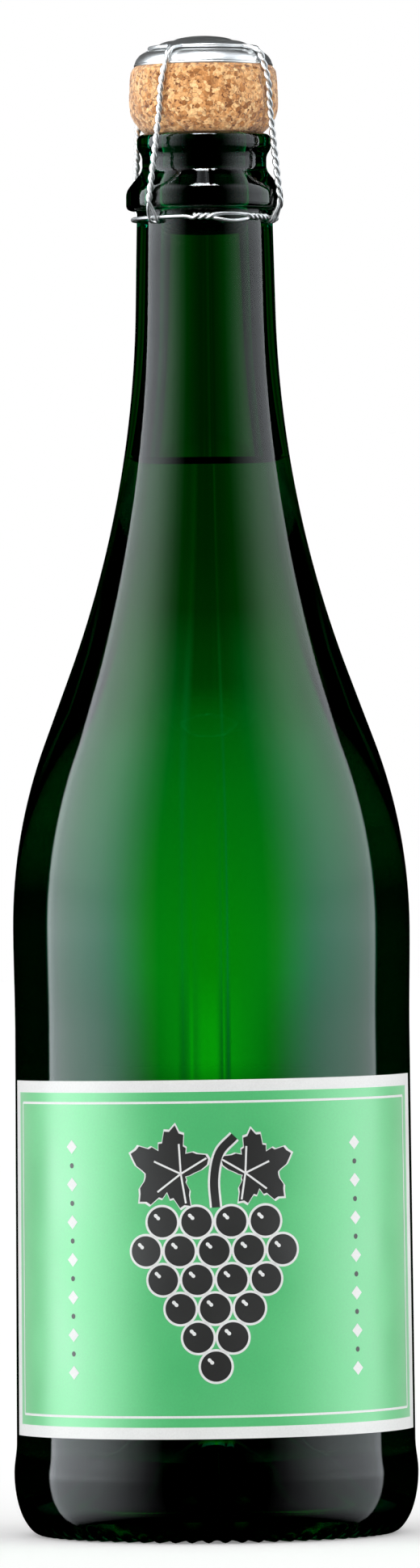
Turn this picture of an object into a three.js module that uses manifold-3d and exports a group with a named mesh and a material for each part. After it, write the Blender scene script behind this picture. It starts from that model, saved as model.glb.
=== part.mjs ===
// A corked bottle of sparkling wine: dark glass with a punt, wine up to its fill level,
// a pressed-granule cork, a domed metal cap, a wire hood with its belt wire, and a paper label.
// Millimetres, +Z up. The origin is the centre of the ring that the bottle stands on,
// and the label faces -Y.
import * as THREE from "three";
import { mergeVertices } from "three/addons/utils/BufferGeometryUtils.js";
import Module from "manifold-3d";

const wasm = await Module();
wasm.setup();

// Every turned piece has this many sides, so the facets of neighbours lie parallel.
const FACETS = 32;
// Straight steps along the curved stretches of the turned outlines.
const PUNT_STEPS = 6;
const HEEL_STEPS = 4;
const SHOULDER_STEPS = 4;
const FLARE_STEPS = 7;
const LIP_STEPS = 2;
const INNER_HEEL_STEPS = 3;
const INNER_SHOULDER_STEPS = 3;
const INNER_FLARE_STEPS = 6;
const WINE_FLARE_STEPS = 4;
const CORK_SIDE_STEPS = 9;
const CORK_CROWN_STEPS = 3;
const CAP_SHOULDER_STEPS = 4;
const CAP_DOME_STEPS = 3;
// Clearance between pieces that touch in the real bottle.
const SEAT_GAP = 0.1;
// Vertices closer than this are one.
const WELD = 1e-4;

// Glass, outside.
const GLASS_HEIGHT = 301;
const HEEL_RADIUS = 43.5;
const HEEL_HEIGHT = 13.4;
const HEEL_ROUND = 6.2;
const STANDING_RING_WIDTH = 4;
const PANEL_BOTTOM_RADIUS = 42.9;
const PANEL_BOTTOM_HEIGHT = 20;
const PANEL_TOP_RADIUS = 42.45;
const PANEL_TOP_HEIGHT = 109;
const SHOULDER_RADIUS = 42.7;
const SHOULDER_HEIGHT = 130.2;
const SHOULDER_ARC = 114.6;
const SHOULDER_LEAN = THREE.MathUtils.degToRad(20.44);
const CONE_LENGTH = 15.5;
const FLARE_ARC = 239.1;
const NECK_LEAN = THREE.MathUtils.degToRad(1.27);

// Mouth: a collar that holds the wire, a groove above it and the lip.
const COLLAR_RADIUS = 16.9;
const COLLAR_BOTTOM = 284.7;
const COLLAR_EDGE = 1;
const COLLAR_TOP = 288.8;
const GROOVE_RADIUS = 13.4;
const GROOVE_BOTTOM = 293.2;
const GROOVE_TOP = 296.3;
const LIP_RADIUS = 14.45;
const LIP_BOTTOM = 298;
const LIP_ROUND = 1.1;
const BORE_RADIUS = 8.9;
const BORE_EDGE = 0.7;

// Glass, inside: a wall of one thickness up to the neck, and a floor that follows the punt.
const WALL = 5.2;
const PUNT_HEIGHT = 26;
const PUNT_THICKNESS = 5;
const FLOOR_HEIGHT = 6;
const FLOOR_RADIUS = 30.5;
const INNER_HEEL_HEIGHT = 16;

// Wine, up to the level shown.
const FILL_HEIGHT = 229.2;

// Cork: a tapered shank in the bore under a bulged head.
const SHANK_LENGTH = 21;
const SHANK_CHAMFER = 1;
const CORK_RADIUS = 16.1;
const CORK_FOOT_RADIUS = 12.6;
// The head is widest at this share of its height.
const CORK_BELLY = 0.6;
// How far the head's side lies inside its widest radius at two heights above the mouth,
// and at one depth below the cap's rim.
const CORK_SWELL = { height: 2, inset: 1.6 };
const CORK_CHEEK = { height: 4.6, inset: 0.25 };
const CORK_BROW = { depth: 1.2, inset: 0.35 };

// Cap: a shallow dome inside a wire groove, with a rounded shoulder down to its rim.
const CAP_TOP = 322.2;
const CAP_SHEET = 0.35;
const CAP_DOME_ARC = 27;
const CAP_DOME_RADIUS = 9;
const CAP_RIM_RADIUS = 14.9;
const CAP_RIM_HEIGHT = 315.4;
const CAP_SHOULDER_ARC = 3.5;

// Wire hood: a ring in the cap's groove and four legs of twisted wire that hook under the belt wire.
const WIRE_RADIUS = 0.45;
const WIRE_SIDES = 6;
const LEG_RADIUS = 0.8;
const LEG_STEPS = 22;
// A leg leaves the cap's shoulder at this lean, runs straight past the cork between these margins
// to the cap's rim and the mouth, and turns this far round the belt.
const LEG_CAP_STEPS = 3;
const LEG_CAP_LEAN = THREE.MathUtils.degToRad(10.8);
const LEG_CORK_MARGIN = 4;
const LEG_HOOK_TURN = THREE.MathUtils.degToRad(72);
const LEG_HOOK_STEPS = 2;
const RING_RADIUS = 11.6;
const RING_HEIGHT = 319.55;
const BELT_RADIUS = 15.5;
const BELT_HEIGHT = 282.7;
// Where each leg stands, in degrees round from the front, at its top and at the belt.
const LEGS = [
  { top: -30, foot: -43 },
  { top: 54, foot: 66 },
  { top: 143, foot: 149 },
  { top: -120, foot: -124 },
];
// The belt's second strand runs beside it from a twist at each end round a narrow opening eye.
const EYE_START = -9;
const EYE_END = 56;
const EYE_STEPS = 12;
const EYE_TWIST_RISE = 0.7;
const EYE_OPEN_RISE = 1.2;

// Label: paper round the front, put on a little askew.
const LABEL_BOTTOM = 22.4;
const LABEL_HEIGHT = 76;
const LABEL_HALF_ANGLE = THREE.MathUtils.degToRad(78.5);
const LABEL_SKEW = THREE.MathUtils.degToRad(0.4);
const LABEL_THICKNESS = 0.25;
// The sleeve that the label is cut from reaches this far past its edges.
const LABEL_CUT_MARGIN = 2;

const point = (r, z) => new THREE.Vector2(r, z);

// Points along an arc about (r, z), from one angle to another, measured from the outward direction.
function arc(r, z, radius, from, to, steps) {
  return Array.from({ length: steps + 1 }, (_, i) => {
    const angle = from + ((to - from) * i) / steps;
    return point(r + radius * Math.cos(angle), z + radius * Math.sin(angle));
  });
}

// A quarter of an ellipse from its lowest point (r, z) out and up to (r + width, z + height).
function quarter(r, z, width, height, steps) {
  return Array.from({ length: steps + 1 }, (_, i) => {
    const angle = ((Math.PI / 2) * i) / steps;
    return point(r + width * Math.sin(angle), z + height * (1 - Math.cos(angle)));
  });
}

// A bell from its top on the axis down to (radius, foot).
function bell(top, foot, radius, steps) {
  return Array.from({ length: steps + 1 }, (_, i) => {
    const r = (radius * i) / steps;
    return point(r, foot + ((top - foot) * (1 + Math.cos((Math.PI * i) / steps))) / 2);
  });
}

const panelRadius = (z) =>
  THREE.MathUtils.mapLinear(
    z,
    PANEL_BOTTOM_HEIGHT,
    PANEL_TOP_HEIGHT,
    PANEL_BOTTOM_RADIUS,
    PANEL_TOP_RADIUS,
  );

// Centres of the shoulder's arc and of the neck's flare, which a straight cone joins.
const shoulderCentre = point(SHOULDER_RADIUS - SHOULDER_ARC, SHOULDER_HEIGHT);
const coneTop = point(
  shoulderCentre.x + SHOULDER_ARC * Math.cos(SHOULDER_LEAN) - CONE_LENGTH * Math.sin(SHOULDER_LEAN),
  shoulderCentre.y + SHOULDER_ARC * Math.sin(SHOULDER_LEAN) + CONE_LENGTH * Math.cos(SHOULDER_LEAN),
);
const flareCentre = point(
  coneTop.x + FLARE_ARC * Math.cos(SHOULDER_LEAN),
  coneTop.y + FLARE_ARC * Math.sin(SHOULDER_LEAN),
);

// The line from shoulder to neck, a given depth inside the outer surface,
// up to a given lean of the flare.
function shoulderLine(depth, lastLean, shoulderSteps, flareSteps) {
  return [
    ...arc(shoulderCentre.x, shoulderCentre.y, SHOULDER_ARC - depth, 0, SHOULDER_LEAN, shoulderSteps),
    ...arc(
      flareCentre.x,
      flareCentre.y,
      FLARE_ARC + depth,
      Math.PI + SHOULDER_LEAN,
      Math.PI + lastLean,
      flareSteps,
    ),
  ];
}

// The inside of the glass from the middle of its floor to the top of the wall, drawn in by a gap.
function insideBelowShoulder(gap) {
  const wallAt = (z) => panelRadius(z) - WALL - gap;
  const floor = FLOOR_HEIGHT + gap;
  const heel = quarter(
    FLOOR_RADIUS,
    floor,
    wallAt(INNER_HEEL_HEIGHT) - FLOOR_RADIUS,
    INNER_HEEL_HEIGHT - floor,
    INNER_HEEL_STEPS,
  );
  return [
    ...bell(PUNT_HEIGHT + PUNT_THICKNESS + gap, floor, FLOOR_RADIUS, PUNT_STEPS),
    ...heel.slice(1),
    point(wallAt(PANEL_TOP_HEIGHT), PANEL_TOP_HEIGHT),
  ];
}

const neckTop = point(
  flareCentre.x - FLARE_ARC * Math.cos(NECK_LEAN),
  flareCentre.y - FLARE_ARC * Math.sin(NECK_LEAN),
);
const neckRadius = (z) => neckTop.x - (z - neckTop.y) * Math.tan(NECK_LEAN);

// The bore narrows in a straight line from the top of the flare to the mouth.
const boreFoot = point(
  flareCentre.x - (FLARE_ARC + WALL) * Math.cos(NECK_LEAN),
  flareCentre.y - (FLARE_ARC + WALL) * Math.sin(NECK_LEAN),
);
const boreRadius = (z) => THREE.MathUtils.mapLinear(z, boreFoot.y, GLASS_HEIGHT, boreFoot.x, BORE_RADIUS);

// Turns a closed outline, outer side upwards, round the Z axis.
function turned(outline) {
  return new THREE.LatheGeometry(outline, FACETS).rotateX(Math.PI / 2);
}

function ringOf(radius, height, wireRadius) {
  const section = arc(radius, height, wireRadius, 0, 2 * Math.PI, WIRE_SIDES);
  section[WIRE_SIDES].copy(section[0]);
  return turned(section);
}

// A place at a radius, height and angle round from the front, positive to the right.
function around(radius, height, degrees) {
  const angle = THREE.MathUtils.degToRad(degrees);
  return new THREE.Vector3(radius * Math.sin(angle), -radius * Math.cos(angle), height);
}

function tube(points, radius, steps) {
  const section = new THREE.Shape(arc(0, 0, radius, 0, 2 * Math.PI, WIRE_SIDES).slice(0, WIRE_SIDES));
  const extrudePath = new THREE.CatmullRomCurve3(points);
  return new THREE.ExtrudeGeometry(section, { steps, extrudePath, bevelEnabled: false });
}

function solid(geometry) {
  const bare = geometry.clone();
  bare.deleteAttribute("normal");
  bare.deleteAttribute("uv");
  const merged = mergeVertices(bare, WELD);
  const vertProperties = merged.attributes.position.array;
  const triVerts = new Uint32Array(merged.index.array);
  return new wasm.Manifold(new wasm.Mesh({ numProp: 3, vertProperties, triVerts }));
}

function geometryOf(manifold) {
  const mesh = manifold.getMesh();
  const geometry = new THREE.BufferGeometry();
  geometry.setAttribute("position", new THREE.BufferAttribute(mesh.vertProperties, 3));
  geometry.setIndex(new THREE.BufferAttribute(mesh.triVerts, 1));
  geometry.computeVertexNormals();
  return geometry;
}

function glassGeometry() {
  const ringOuter = HEEL_RADIUS - HEEL_ROUND;
  const collarFoot = COLLAR_BOTTOM + COLLAR_EDGE;
  const lipEdge = GLASS_HEIGHT - LIP_ROUND;
  return turned([
    ...bell(PUNT_HEIGHT, 0, ringOuter - STANDING_RING_WIDTH, PUNT_STEPS),
    ...quarter(ringOuter, 0, HEEL_ROUND, HEEL_HEIGHT, HEEL_STEPS),
    point(PANEL_BOTTOM_RADIUS, PANEL_BOTTOM_HEIGHT),
    point(PANEL_TOP_RADIUS, PANEL_TOP_HEIGHT),
    ...shoulderLine(0, NECK_LEAN, SHOULDER_STEPS, FLARE_STEPS),
    point(neckRadius(COLLAR_BOTTOM), COLLAR_BOTTOM),
    point(COLLAR_RADIUS - COLLAR_EDGE, COLLAR_BOTTOM),
    point(COLLAR_RADIUS, collarFoot),
    point(COLLAR_RADIUS, COLLAR_TOP),
    point(GROOVE_RADIUS, GROOVE_BOTTOM),
    point(GROOVE_RADIUS, GROOVE_TOP),
    point(LIP_RADIUS, LIP_BOTTOM),
    ...arc(LIP_RADIUS - LIP_ROUND, lipEdge, LIP_ROUND, 0, Math.PI / 2, LIP_STEPS),
    point(BORE_RADIUS + BORE_EDGE, GLASS_HEIGHT),
    point(boreRadius(GLASS_HEIGHT - BORE_EDGE), GLASS_HEIGHT - BORE_EDGE),
    ...shoulderLine(WALL, NECK_LEAN, INNER_SHOULDER_STEPS, INNER_FLARE_STEPS).reverse(),
    ...insideBelowShoulder(0).reverse(),
  ]);
}

function wineGeometry() {
  const depth = WALL + SEAT_GAP;
  const lastLean = Math.asin((flareCentre.y - FILL_HEIGHT) / (FLARE_ARC + depth));
  return turned([
    ...insideBelowShoulder(SEAT_GAP),
    ...shoulderLine(depth, lastLean, INNER_SHOULDER_STEPS, WINE_FLARE_STEPS),
    point(0, FILL_HEIGHT),
  ]);
}

function corkGeometry() {
  const shankFoot = GLASS_HEIGHT - SHANK_LENGTH;
  const headFoot = GLASS_HEIGHT + SEAT_GAP;
  const headTop = CAP_RIM_HEIGHT - SEAT_GAP;
  const chamferTop = shankFoot + SHANK_CHAMFER;
  const side = new THREE.SplineCurve([
    point(CORK_FOOT_RADIUS, headFoot),
    point(CORK_RADIUS - CORK_SWELL.inset, headFoot + CORK_SWELL.height),
    point(CORK_RADIUS - CORK_CHEEK.inset, headFoot + CORK_CHEEK.height),
    point(CORK_RADIUS, THREE.MathUtils.lerp(headFoot, headTop, CORK_BELLY)),
    point(CORK_RADIUS - CORK_BROW.inset, headTop - CORK_BROW.depth),
    point(CAP_RIM_RADIUS + SEAT_GAP, headTop),
  ]);
  const crownArc = CAP_SHOULDER_ARC - CAP_SHEET - SEAT_GAP;
  const crownCentre = CAP_RIM_RADIUS - CAP_SHOULDER_ARC;
  return turned([
    point(0, shankFoot),
    point(boreRadius(shankFoot) - SEAT_GAP - SHANK_CHAMFER, shankFoot),
    point(boreRadius(chamferTop) - SEAT_GAP, chamferTop),
    point(boreRadius(GLASS_HEIGHT) - SEAT_GAP, headFoot),
    ...side.getPoints(CORK_SIDE_STEPS),
    ...arc(crownCentre, headTop, crownArc, 0, Math.PI / 2, CORK_CROWN_STEPS),
    point(0, headTop + crownArc),
  ]);
}

// One face of the cap's sheet, from rim to middle, a given depth under the outer face.
function capLine(depth) {
  const shoulderRadius = CAP_RIM_RADIUS - CAP_SHOULDER_ARC;
  const grooveLean = Math.acos((RING_RADIUS - shoulderRadius) / CAP_SHOULDER_ARC);
  const domeCentre = CAP_TOP - CAP_DOME_ARC;
  const domeEdge = Math.acos(CAP_DOME_RADIUS / CAP_DOME_ARC);
  return [
    ...arc(shoulderRadius, CAP_RIM_HEIGHT, CAP_SHOULDER_ARC - depth, 0, grooveLean, CAP_SHOULDER_STEPS),
    ...arc(0, domeCentre, CAP_DOME_ARC - depth, domeEdge, Math.PI / 2, CAP_DOME_STEPS),
  ];
}

function capGeometry() {
  return turned([...capLine(CAP_SHEET).reverse(), ...capLine(0)]);
}

// A leg's route outwards over the cap's shoulder, down past the cork and the collar,
// and in under the belt.
function legRoute({ top, foot }) {
  const clear = LEG_RADIUS + 2 * SEAT_GAP;
  const overCap = CAP_SHOULDER_ARC + clear;
  const capCentre = CAP_RIM_RADIUS - CAP_SHOULDER_ARC;
  const hook = WIRE_RADIUS + clear + 2 * SEAT_GAP;
  const ringLean = Math.acos((RING_RADIUS - capCentre) / overCap);
  const route = [
    ...arc(capCentre, CAP_RIM_HEIGHT, overCap, ringLean, LEG_CAP_LEAN, LEG_CAP_STEPS),
    point(CORK_RADIUS + clear, CAP_RIM_HEIGHT - LEG_CORK_MARGIN),
    point(CORK_RADIUS + clear, GLASS_HEIGHT + LEG_CORK_MARGIN),
    point(COLLAR_RADIUS + clear, COLLAR_TOP),
    point(COLLAR_RADIUS + clear, COLLAR_BOTTOM + COLLAR_EDGE),
    ...arc(BELT_RADIUS, BELT_HEIGHT, hook, 0, -LEG_HOOK_TURN, LEG_HOOK_STEPS),
  ];
  const span = RING_HEIGHT - BELT_HEIGHT;
  return route.map(({ x, y }) => {
    const down = THREE.MathUtils.clamp((RING_HEIGHT - y) / span, 0, 1);
    return around(x, y, THREE.MathUtils.lerp(top, foot, down));
  });
}

function hoodGeometry() {
  let hood = solid(ringOf(RING_RADIUS, RING_HEIGHT, WIRE_RADIUS));
  for (const leg of LEGS) {
    hood = hood.add(solid(tube(legRoute(leg), LEG_RADIUS, LEG_STEPS)));
  }
  return geometryOf(hood);
}

function beltGeometry() {
  const strand = Array.from({ length: EYE_STEPS + 1 }, (_, i) => {
    const along = i / EYE_STEPS;
    // The eye opens over the middle half of the strand.
    const opening = Math.max(0, Math.sin(2 * Math.PI * (along - 0.25)));
    const rise = THREE.MathUtils.lerp(EYE_TWIST_RISE, EYE_OPEN_RISE, opening);
    return around(BELT_RADIUS, BELT_HEIGHT + rise, THREE.MathUtils.lerp(EYE_START, EYE_END, along));
  });
  const belt = solid(ringOf(BELT_RADIUS, BELT_HEIGHT, WIRE_RADIUS));
  return geometryOf(belt.add(solid(tube(strand, WIRE_RADIUS, EYE_STEPS))));
}

function labelGeometry() {
  const low = LABEL_BOTTOM - LABEL_CUT_MARGIN;
  const high = LABEL_BOTTOM + LABEL_HEIGHT + LABEL_CUT_MARGIN;
  const outer = SEAT_GAP + LABEL_THICKNESS;
  const sleeve = turned([
    point(panelRadius(low) + SEAT_GAP, low),
    point(panelRadius(low) + outer, low),
    point(panelRadius(high) + outer, high),
    point(panelRadius(high) + SEAT_GAP, high),
    point(panelRadius(low) + SEAT_GAP, low),
  ]);
  const depth = HEEL_RADIUS + LABEL_CUT_MARGIN;
  const sideEdge = PANEL_TOP_RADIUS * Math.cos(LABEL_HALF_ANGLE);
  const front = new THREE.BoxGeometry(2 * depth, depth, LABEL_HEIGHT)
    .rotateY(-LABEL_SKEW)
    .translate(0, -depth / 2 - sideEdge, LABEL_BOTTOM + LABEL_HEIGHT / 2);
  return geometryOf(solid(sleeve).intersect(solid(front)));
}

function piece(name, geometry, color, roughness, metalness) {
  const mesh = new THREE.Mesh(geometry, new THREE.MeshStandardMaterial({ color, roughness, metalness }));
  mesh.name = name;
  return mesh;
}

const bottle = new THREE.Group();
bottle.add(
  piece("bottle_glass", glassGeometry(), 0x0b3d14, 0.05, 0),
  piece("wine", wineGeometry(), 0xd9cf8a, 0.05, 0),
  piece("cork", corkGeometry(), 0xd9a066, 0.85, 0),
  piece("cap", capGeometry(), 0xd6d8da, 0.25, 1),
  piece("wire_hood", hoodGeometry(), 0xc4c8ca, 0.3, 1),
  piece("belt_wire", beltGeometry(), 0xc4c8ca, 0.3, 1),
  piece("label", labelGeometry(), 0x4fbf7c, 0.6, 0),
);

export default bottle;
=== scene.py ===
"""Looks of a corked bottle of sparkling wine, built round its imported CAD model.

Lengths are in millimetres until a mesh is made, with +Z up and the label facing -Y.
Angles round the bottle are in degrees from the front, positive to the right.
"""

import math

import bpy
import numpy as np
from mathutils import Matrix, Vector, noise


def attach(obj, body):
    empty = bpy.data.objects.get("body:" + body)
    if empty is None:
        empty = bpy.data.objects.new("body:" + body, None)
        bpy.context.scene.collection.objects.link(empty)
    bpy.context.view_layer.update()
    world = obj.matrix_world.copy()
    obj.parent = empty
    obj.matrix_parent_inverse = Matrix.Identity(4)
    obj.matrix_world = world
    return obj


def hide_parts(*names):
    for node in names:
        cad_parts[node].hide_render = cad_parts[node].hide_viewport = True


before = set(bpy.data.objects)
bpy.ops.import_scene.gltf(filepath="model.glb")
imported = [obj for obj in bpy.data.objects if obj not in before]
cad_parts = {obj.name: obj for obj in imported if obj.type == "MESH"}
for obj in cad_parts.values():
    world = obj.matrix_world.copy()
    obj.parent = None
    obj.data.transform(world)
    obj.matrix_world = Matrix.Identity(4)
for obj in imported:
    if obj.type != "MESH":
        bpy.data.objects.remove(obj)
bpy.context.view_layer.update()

MM = 0.001

# Glass, outside.
GLASS_HEIGHT = 301.0
HEEL_RADIUS = 43.5
HEEL_HEIGHT = 13.4
HEEL_ROUND = 6.2
RING_OUTER = HEEL_RADIUS - HEEL_ROUND
RING_INNER = RING_OUTER - 4.0
PANEL_BOTTOM = (42.9, 20.0)
PANEL_TOP = (42.45, 109.0)
SHOULDER = (42.7, 130.2)
SHOULDER_ARC = 114.6
SHOULDER_LEAN = math.radians(20.44)
CONE_LENGTH = 15.5
FLARE_ARC = 239.1
NECK_LEAN = math.radians(1.27)
COLLAR_BOTTOM = 284.7
COLLAR_TOP = 288.8
COLLAR_RADIUS = 16.9
GROOVE_RADIUS = 13.4
GROOVE_BOTTOM = 293.2
GROOVE_TOP = 296.3
LIP_RADIUS = 14.45
LIP_BOTTOM = 298.0
BORE_RADIUS = 8.9
GLASS_SIDES = 396
KNURLS = 66
KNURL_DEPTH = 0.7
SEAM_ANGLES = (3.4, 183.4)
SEAM_HEIGHT = 0.07
SEAM_WIDTH = 0.45
SEAM_FOOT = 3.0
# A place this far inside the outline still counts as the outer surface.
SEAM_MARGIN = 2.0
# Radii where the knurls start, come to their depth, leave it and end, and the height that they reach.
KNURL_RADII = (31.5, 33.6, 38.6, 41.5)
KNURL_TOP = 4.5
# The neck is drawn straight up from here, and the bore straight down from here.
NECK_STRAIGHT_FROM = 268.0
BORE_STRAIGHT_FROM = 297.0

# Glass, inside.
WALL = 5.2
PUNT_HEIGHT = 26.0
PUNT_THICKNESS = 5.0
FLOOR_HEIGHT = 6.0
FLOOR_RADIUS = 30.5
INNER_HEEL_HEIGHT = 16.0

# Wine. It reaches a little into the wall, so that no air shows between wine and glass.
FILL_HEIGHT = 229.2
WINE_INTO_WALL = 0.15
MENISCUS_RISE = 1.7
MENISCUS_REACH = 1.4
MENISCUS_SPOTS = (0.4, 0.9, 1.5, 2.3, 3.4, 5.0, 8.0)
WINE_SIDES = 192

# Cork. Its side is given by radii and heights above the mouth, its brow by how far in and down it lies.
SHANK_LENGTH = 21.0
SHANK_CHAMFER = 1.2
SHANK_EDGE = 1.0
CORK_RADIUS = 16.1
CORK_FOOT_RADIUS = 12.6
CORK_SIDE = ((14.5, 2.0), (15.85, 4.6))
CORK_BELLY = 0.6
CORK_BROW = (0.35, 1.2)
CORK_GAP = 0.05
CORK_SIDES = 240

# Marks in the side of the cork's head. Each scale is the share of a noise cell to a millimetre.
MARK_RADIUS = 11.0
MARK_MARGIN = 0.4
GRAIN_SCALE = 0.34
JOINT_WIDTH = 0.16
JOINT_DEPTH = 0.16
PIT_SCALE = 0.5
PIT_LEVEL = 0.32
PIT_EDGE = 0.25
PIT_DEPTH = 0.45
SWELL_SCALE = 0.16
SWELL_HEIGHT = 0.12
PRESS_WIDTH = 1.1
PRESS_DEPTH = 0.35

# Cap.
CAP_TOP = 322.2
CAP_SHEET = 0.35
CAP_DOME_ARC = 27.0
CAP_DOME_RADIUS = 9.0
CAP_RIM_RADIUS = 14.9
CAP_RIM_HEIGHT = 315.4
CAP_SHOULDER_ARC = 3.5
CAP_SIDES = 144
CAP_RIM_LEAN = math.radians(10)
BEAD_RADIUS = 0.4
BEAD_INSET = 0.32
BEAD_RISE = 0.42
PRESSED_RING_RADIUS = 6.8
PRESSED_RING_WIDTH = 0.7
PRESSED_RING_DEPTH = 0.28

# Wires.
WIRE_SIDES = 10
STRAND_RADIUS = 0.39
PAIR_OFFSET = 0.41
TWIST_PITCH = 4.3
HOOP_RADIUS = 11.6
HOOP_HEIGHT = 319.55
BELT_WIRE = 0.44
BELT_RADIUS = 15.5
BELT_HEIGHT = 282.7
BELT_STEP = 0.35
BELT_ANGLE_STEP = 0.75
# The belt's twists: where each starts and stops, and its number of half turns.
TWISTS = ((-9.0, 8.0, 3), (37.0, 56.0, 4))
TWIST_EASE = 6.0
EYE_LIFT = 0.38
EYE_LOWER_SHARE = 0.45
# Each leg's angle at the hoop and at the belt.
LEGS = ((-30.0, -43.0), (54.0, 66.0), (143.0, 149.0), (-120.0, -124.0))
LEG_PLACES = 190
LEG_GAP = 0.05
LEG_CAP_REACH = 0.6
LEG_CAP_LEAN = math.radians(11)
LEG_CORK_MARGIN = 4.0
LEG_SINK = 0.25
HOOK_GAP = 0.1
HOOK_START = 0.1
HOOK_TURN = math.radians(102)
# The twist starts this far down a leg and ends this far before its foot.
TWIST_FROM = 2.6
TWIST_END = 4.6
# How far the strands part beyond each end of the twist, and over what length.
PART_FOOT = (0.55, 2.5)
PART_HEAD = (0.3, 2.0)
# Places left out where a strand meets the hoop, and how far its bend reaches under the belt.
LEG_SKIP = 6
BEND_REACH = 0.55
HOOP_GAP = 7.5
HOOP_STEP = 3.0
CAGE_STEP = 0.32

# Label.
LABEL_BOTTOM = 22.4
LABEL_HEIGHT = 76.0
LABEL_HALF_ANGLE = math.radians(78.5)
LABEL_SKEW = math.radians(0.4)
LABEL_BACK = 0.03
LABEL_FACE = 0.25
BORDER_SIDE = 3.0
BORDER_TOP = 2.5
# Strength of the faint glow on the back of the label: painted light, standing in for light that reaches it
# through the glass.
PAINTED_GLOW_STRENGTH = 0.09

# Print: a thin frame line, a row of diamonds at each side, and a bunch of grapes with two leaves.
INK_LIFT = 0.03
BLOT_SIDES = 48
FRAME_INSET = 2.2
FRAME_WIDTH = 0.5
DIAMOND_PLACE = 33.0
DIAMOND_STEP = 8.0
DIAMOND_RADIUS = 1.5
DOT_RADIUS = 0.55
GRAPE = 3.7
GRAPE_EDGE = 0.5
GRAPE_ROWS = (4, 5, 4, 3, 2, 1)
GRAPE_STEP = 7.3
GRAPE_ROW_SHARE = 0.84
GRAPE_TOP = 8.0
SHINE_OFFSET = 1.1
STALK = ((0.5, 3.0), (0.2, 9.0), (1.4, 14.5), (4.6, 18.0))
STALK_WIDTH = 1.7
STALK_EDGE_WIDTH = 2.6
# Each leaf's side, size and tilt in degrees.
LEAVES = ((-1, 9.6, 155.0), (1, 8.6, 25.0))
LEAF_PLACE = (9.2, 11.0)
LEAF_EDGE = 0.6
VEIN_START = (2.4, 0.8)
VEIN_TURN = math.radians(62)
VEIN_REACH = 0.66
VEIN_WIDTH = 0.4

# Stage, with lengths in metres.
FLOOR_HALF = 10.0
SHADE_SIDES = 48
SHADE_RINGS = ((0.1, -0.0001), (0.024, -0.0001), (0.018, 0.007), (0.011, 0.016), (0.004, 0.022))
FLAG_BEHIND = 0.018
FLAG_OUTER = 0.04
FLAG_FOOT = (0.0172, 0.2325)
FLAG_HEAD = (0.0142, 0.283)
CARD_BEHIND = 0.1
CARD_HALF_WIDTH = 0.06
CARD_HEIGHT = 0.4
STRIP_POWER = 5.0
RIGHT_STRIP_LOSS = 0.38
TOP_LIGHT_POWER = 22.0
FRONT_LIGHT_SIZE = (2.6, 2.4)
FRONT_LIGHT_POWER = 38.0
FRONT_LIGHT_PLACE = Vector((-0.9, -1.3, 1.1))
FRONT_LIGHT_AIM = Vector((0.0, 0.0, 0.3))

# Camera, with its place and aim in metres.
CAMERA_SENSOR = 36.0
CAMERA_LENS = 277.4
CAMERA_PLACE = Vector((0.0, -2.6, 0.15))
CAMERA_AIM = Vector((0.0, 0.0, 0.1612))
CAMERA_ROLL = math.radians(-0.54)


def mix(a, b, t):
    return a + (b - a) * t


def ease(t):
    t = min(max(t, 0.0), 1.0)
    return t * t * (3 - 2 * t)


def arc(r, z, radius, start, stop, steps):
    angles = np.linspace(start, stop, steps + 1)
    return [(r + radius * math.cos(a), z + radius * math.sin(a)) for a in angles]


def rounded(corners, steps=6):
    """A line through corners (r, z, how far back from the corner its rounding starts)."""
    line = [corners[0][:2]]
    for before, corner, after in zip(corners, corners[1:], corners[2:]):
        here = Vector(corner[:2])
        start = here + (Vector(before[:2]) - here).normalized() * corner[2]
        stop = here + (Vector(after[:2]) - here).normalized() * corner[2]
        for i in range(steps + 1):
            t = i / steps
            spot = start * (1 - t) ** 2 + here * 2 * t * (1 - t) + stop * t * t
            line.append((spot.x, spot.y))
    line.append(corners[-1][:2])
    return line


def spline(points, steps):
    """A smooth curve through points of any dimension, with some steps between neighbours."""
    p = np.array(points, float)
    p = np.vstack([2 * p[0] - p[1], p, 2 * p[-1] - p[-2]])
    out = []
    for i in range(1, len(p) - 2):
        a, b, c, d = p[i - 1], p[i], p[i + 1], p[i + 2]
        for t in np.arange(steps) / steps:
            out.append(
                0.5 * (2 * b + (c - a) * t + (2 * a - 5 * b + 4 * c - d) * t ** 2
                       + (3 * b - a - 3 * c + d) * t ** 3)
            )
    out.append(p[-2])
    return np.array(out)


def around(radius, height, degrees):
    angle = math.radians(degrees)
    return np.array([radius * math.sin(angle), -radius * math.cos(angle), height])


def panel_radius(z):
    return mix(PANEL_BOTTOM[0], PANEL_TOP[0], (z - PANEL_BOTTOM[1]) / (PANEL_TOP[1] - PANEL_BOTTOM[1]))


shoulder_centre = Vector((SHOULDER[0] - SHOULDER_ARC, SHOULDER[1]))
lean_out = Vector((math.cos(SHOULDER_LEAN), math.sin(SHOULDER_LEAN)))
lean_up = Vector((-math.sin(SHOULDER_LEAN), math.cos(SHOULDER_LEAN)))
cone_top = shoulder_centre + lean_out * SHOULDER_ARC + lean_up * CONE_LENGTH
flare_centre = cone_top + lean_out * FLARE_ARC


def shoulder_line(depth, last_lean, shoulder_steps, flare_steps):
    flare = arc(
        flare_centre.x, flare_centre.y, FLARE_ARC + depth,
        math.pi + SHOULDER_LEAN, math.pi + last_lean, flare_steps,
    )
    shoulder = arc(
        shoulder_centre.x, shoulder_centre.y, SHOULDER_ARC - depth, 0, SHOULDER_LEAN, shoulder_steps,
    )
    return shoulder + flare


neck_top = flare_centre - Vector((math.cos(NECK_LEAN), math.sin(NECK_LEAN))) * FLARE_ARC
bore_foot = flare_centre - Vector((math.cos(NECK_LEAN), math.sin(NECK_LEAN))) * (FLARE_ARC + WALL)


def neck_radius(z):
    return neck_top.x - (z - neck_top.y) * math.tan(NECK_LEAN)


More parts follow.
